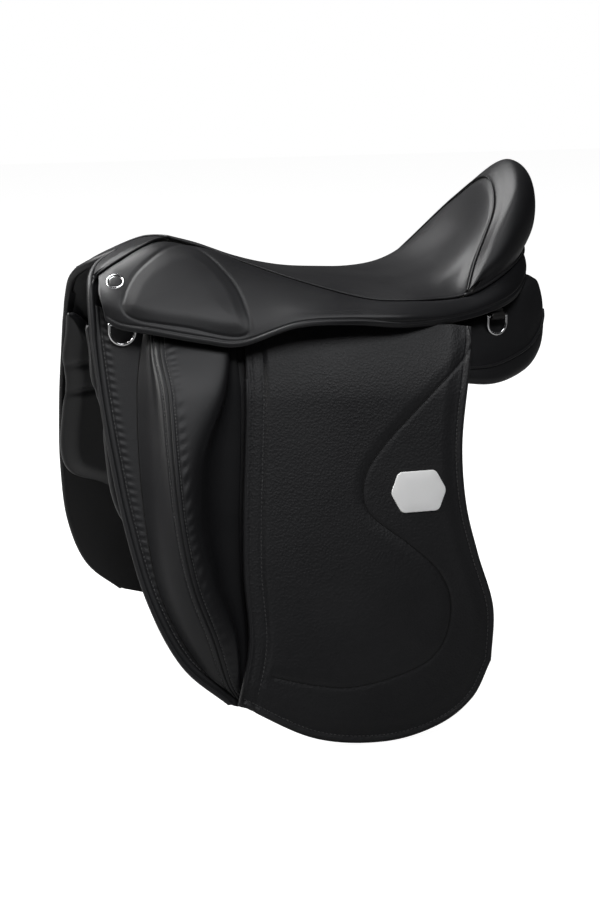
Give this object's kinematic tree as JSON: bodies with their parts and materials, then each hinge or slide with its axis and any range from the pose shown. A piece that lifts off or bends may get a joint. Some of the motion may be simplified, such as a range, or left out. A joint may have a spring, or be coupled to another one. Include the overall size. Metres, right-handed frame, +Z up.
{
  "type": "english saddle",
  "caption": "Black leather dressage saddle with deep seat, raised cantle, long straight flaps, outside knee blocks, stuffed panels and hidden stirrup bars and girth straps.",
  "frame": {"origin": "on the centre plane, under the lowest point of the seat, on the line where the panels bear", "axes": "+Z up, -X towards the pommel, -Y towards the near (left) side"},
  "size_m": [0.4588, 0.4794, 0.5125],
  "materials": {
    "tree_wood": "bare laminated beech",
    "tree_steel": "satin lacquer",
    "foam": "matt open-cell foam",
    "seat_leather": "fine grain, soft satin sheen",
    "calf_leather": "smooth calf with a satin polish",
    "grained_leather": "pebbled grain, low sheen",
    "panel_leather": "smooth, low sheen",
    "strap_leather": "bridle leather with waxed edges",
    "webbing": "woven linen",
    "forged_steel": "satin",
    "silver_trim": "polished",
    "white_plate": "satin"
  },
  "bodies": {
    "seat_and_tree": {"tree_shell": "tree_wood", "head_plate": "tree_steel", "head_rivets": "tree_steel", "seat_foam": "foam", "seat_cover": "seat_leather", "cantle_pad": "foam", "cantle_cap": "seat_leather", "pommel_facing": "seat_leather", "panel_bridge": "panel_leather", "skirt_near": "seat_leather", "skirt_off": "seat_leather", "badge_near": "silver_trim", "badge_off": "silver_trim", "panel_near": "panel_leather", "panel_off": "panel_leather", "panel_forward_near": "panel_leather", "panel_forward_off": "panel_leather", "sweat_flap_near": "calf_leather", "sweat_flap_off": "calf_leather", "knee_block_near": "calf_leather", "knee_block_off": "calf_leather", "flap_root_near": "grained_leather", "flap_root_off": "grained_leather", "billet_web_near": "webbing", "billet_web_off": "webbing", "stirrup_bar_near": "forged_steel", "stirrup_bar_off": "forged_steel", "bar_rivets_near": "forged_steel", "bar_rivets_off": "forged_steel", "catch_pin_near": "forged_steel", "catch_pin_off": "forged_steel", "front_chape_near": "strap_leather", "front_chape_off": "strap_leather", "rear_chape_near": "strap_leather", "rear_chape_off": "strap_leather"},
    "leg_flap_near": {"leg_flap_near": "grained_leather", "flap_plate_near": "white_plate"},
    "skirt_flap_near": {"skirt_flap_near": "seat_leather"},
    "bar_catch_near": {"bar_catch_near": "forged_steel"},
    "front_ring_near": {"front_ring_near": "silver_trim"},
    "rear_ring_near": {"rear_ring_near": "silver_trim"},
    "billet_front_near": {"billet_front_near": "strap_leather"},
    "billet_rear_near": {"billet_rear_near": "strap_leather"},
    "leg_flap_off": {"leg_flap_off": "grained_leather", "flap_plate_off": "white_plate"},
    "skirt_flap_off": {"skirt_flap_off": "seat_leather"},
    "bar_catch_off": {"bar_catch_off": "forged_steel"},
    "front_ring_off": {"front_ring_off": "silver_trim"},
    "rear_ring_off": {"rear_ring_off": "silver_trim"},
    "billet_front_off": {"billet_front_off": "strap_leather"},
    "billet_rear_off": {"billet_rear_off": "strap_leather"}
  },
  "joints": [
    {"name": "leg_flap_lift_near", "type": "hinge", "parent": "seat_and_tree", "child": "leg_flap_near", "pos_m": [-0.014, -0.14009, 0.022], "axis": [-0.973, 0.2308, 0], "range_deg": [0, 60]},
    {"name": "skirt_lift_near", "type": "hinge", "parent": "seat_and_tree", "child": "skirt_flap_near", "pos_m": [-0.108, -0.0975, 0.075], "axis": [-0.9549, 0.2871, 0.0761], "range_deg": [0, 35]},
    {"name": "bar_catch_turn_near", "type": "hinge", "parent": "seat_and_tree", "child": "bar_catch_near", "pos_m": [-0.12377, -0.10301, 0.05], "axis": [-0.1908, -0.9816, 0], "range_deg": [0, 60]},
    {"name": "front_ring_swing_near", "type": "hinge", "parent": "seat_and_tree", "child": "front_ring_near", "pos_m": [-0.2275, -0.072, 0.057], "axis": [-0.9703, 0.2419, 0], "range_deg": [0, 45]},
    {"name": "rear_ring_swing_near", "type": "hinge", "parent": "seat_and_tree", "child": "rear_ring_near", "pos_m": [0.131, -0.117, 0.055], "axis": [-0.9613, -0.2756, 0], "range_deg": [0, 70]},
    {"name": "billet_front_swing_near", "type": "hinge", "parent": "seat_and_tree", "child": "billet_front_near", "pos_m": [-0.08, -0.11892, 0.016], "axis": [-0.0519, -0.9444, -0.3245], "range_deg": [-2.5, 2.5]},
    {"name": "billet_rear_swing_near", "type": "hinge", "parent": "seat_and_tree", "child": "billet_rear_near", "pos_m": [-0.012, -0.13483, 0.016], "axis": [-0.0527, -0.9583, -0.2808], "range_deg": [-2.5, 2.5]},
    {"name": "leg_flap_lift_off", "type": "hinge", "parent": "seat_and_tree", "child": "leg_flap_off", "pos_m": [-0.014, 0.14009, 0.022], "axis": [0.973, 0.2308, 0], "range_deg": [0, 60]},
    {"name": "skirt_lift_off", "type": "hinge", "parent": "seat_and_tree", "child": "skirt_flap_off", "pos_m": [-0.108, 0.0975, 0.075], "axis": [0.9549, 0.2871, -0.0761], "range_deg": [0, 35]},
    {"name": "bar_catch_turn_off", "type": "hinge", "parent": "seat_and_tree", "child": "bar_catch_off", "pos_m": [-0.12377, 0.10301, 0.05], "axis": [0.1908, -0.9816, 0], "range_deg": [0, 60]},
    {"name": "front_ring_swing_off", "type": "hinge", "parent": "seat_and_tree", "child": "front_ring_off", "pos_m": [-0.2275, 0.072, 0.057], "axis": [0.9703, 0.2419, 0], "range_deg": [0, 45]},
    {"name": "rear_ring_swing_off", "type": "hinge", "parent": "seat_and_tree", "child": "rear_ring_off", "pos_m": [0.131, 0.117, 0.055], "axis": [0.9613, -0.2756, 0], "range_deg": [0, 70]},
    {"name": "billet_front_swing_off", "type": "hinge", "parent": "seat_and_tree", "child": "billet_front_off", "pos_m": [-0.08, 0.11892, 0.016], "axis": [0.0519, -0.9444, 0.3245], "range_deg": [-2.5, 2.5]},
    {"name": "billet_rear_swing_off", "type": "hinge", "parent": "seat_and_tree", "child": "billet_rear_off", "pos_m": [-0.012, 0.13483, 0.016], "axis": [0.0527, -0.9583, 0.2808], "range_deg": [-2.5, 2.5]}
  ]
}
